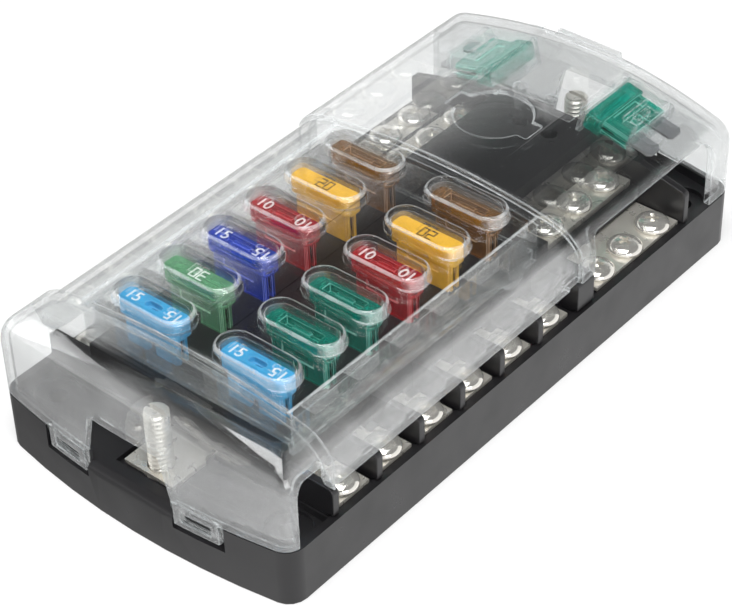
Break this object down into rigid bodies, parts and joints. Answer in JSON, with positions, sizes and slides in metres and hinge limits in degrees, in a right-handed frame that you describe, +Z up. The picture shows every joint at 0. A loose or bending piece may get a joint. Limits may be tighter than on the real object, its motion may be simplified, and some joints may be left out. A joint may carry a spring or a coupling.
{
  "type": "fuse box",
  "caption": "Low rectangular blade fuse box with bowed ends, two rows of coloured fuses, screw terminals along both sides and a clear lift-off cover.",
  "frame": {"origin": "centre of the tray's flat underside", "axes": "+Z up out of the mounting surface, +Y along the box towards the negative stud, +X to the right seen from the positive stud"},
  "size_m": [0.088, 0.176, 0.042],
  "materials": {
    "black_plastic": "moulded black, satin",
    "clear_plastic": "clear moulded polycarbonate, polished",
    "nickel_plate": "bright nickel plate",
    "fuse_zinc": "stamped zinc, satin",
    "fuse_light_blue": "tinted clear plastic",
    "fuse_green": "tinted clear plastic",
    "fuse_dark_blue": "tinted clear plastic",
    "fuse_red": "tinted clear plastic",
    "fuse_yellow": "tinted plastic",
    "fuse_brown": "tinted clear plastic",
    "fuse_teal": "tinted clear plastic"
  },
  "bodies": {
    "housing": {"base_tray": "black_plastic", "fuse_carrier": "black_plastic", "positive_bus": "nickel_plate", "negative_bus": "nickel_plate", "positive_stud": "nickel_plate", "negative_stud": "nickel_plate", "fuse_body_left_1": "fuse_light_blue", "fuse_element_left_1": "fuse_zinc", "load_terminal_left_1": "nickel_plate", "load_screw_left_1": "nickel_plate", "fuse_body_left_2": "fuse_green", "fuse_element_left_2": "fuse_zinc", "load_terminal_left_2": "nickel_plate", "load_screw_left_2": "nickel_plate", "fuse_body_left_3": "fuse_dark_blue", "fuse_element_left_3": "fuse_zinc", "load_terminal_left_3": "nickel_plate", "load_screw_left_3": "nickel_plate", "fuse_body_left_4": "fuse_red", "fuse_element_left_4": "fuse_zinc", "load_terminal_left_4": "nickel_plate", "load_screw_left_4": "nickel_plate", "fuse_body_left_5": "fuse_yellow", "fuse_element_left_5": "fuse_zinc", "load_terminal_left_5": "nickel_plate", "load_screw_left_5": "nickel_plate", "fuse_body_left_6": "fuse_brown", "fuse_element_left_6": "fuse_zinc", "load_terminal_left_6": "nickel_plate", "load_screw_left_6": "nickel_plate", "fuse_body_right_1": "fuse_light_blue", "fuse_element_right_1": "fuse_zinc", "load_terminal_right_1": "nickel_plate", "load_screw_right_1": "nickel_plate", "fuse_body_right_2": "fuse_teal", "fuse_element_right_2": "fuse_zinc", "load_terminal_right_2": "nickel_plate", "load_screw_right_2": "nickel_plate", "fuse_body_right_3": "fuse_teal", "fuse_element_right_3": "fuse_zinc", "load_terminal_right_3": "nickel_plate", "load_screw_right_3": "nickel_plate", "fuse_body_right_4": "fuse_red", "fuse_element_right_4": "fuse_zinc", "load_terminal_right_4": "nickel_plate", "load_screw_right_4": "nickel_plate", "fuse_body_right_5": "fuse_yellow", "fuse_element_right_5": "fuse_zinc", "load_terminal_right_5": "nickel_plate", "load_screw_right_5": "nickel_plate", "fuse_body_right_6": "fuse_brown", "fuse_element_right_6": "fuse_zinc", "load_terminal_right_6": "nickel_plate", "load_screw_right_6": "nickel_plate"},
    "cover": {"clear_cover": "clear_plastic", "spare_fuse_body_left": "fuse_teal", "spare_fuse_element_left": "fuse_zinc", "spare_fuse_body_right": "fuse_teal", "spare_fuse_element_right": "fuse_zinc"}
  },
  "joints": [
    {"name": "cover_lift", "type": "slide", "parent": "housing", "child": "cover", "axis": [0, 0, 1], "range_m": [0, 0.05]}
  ]
}
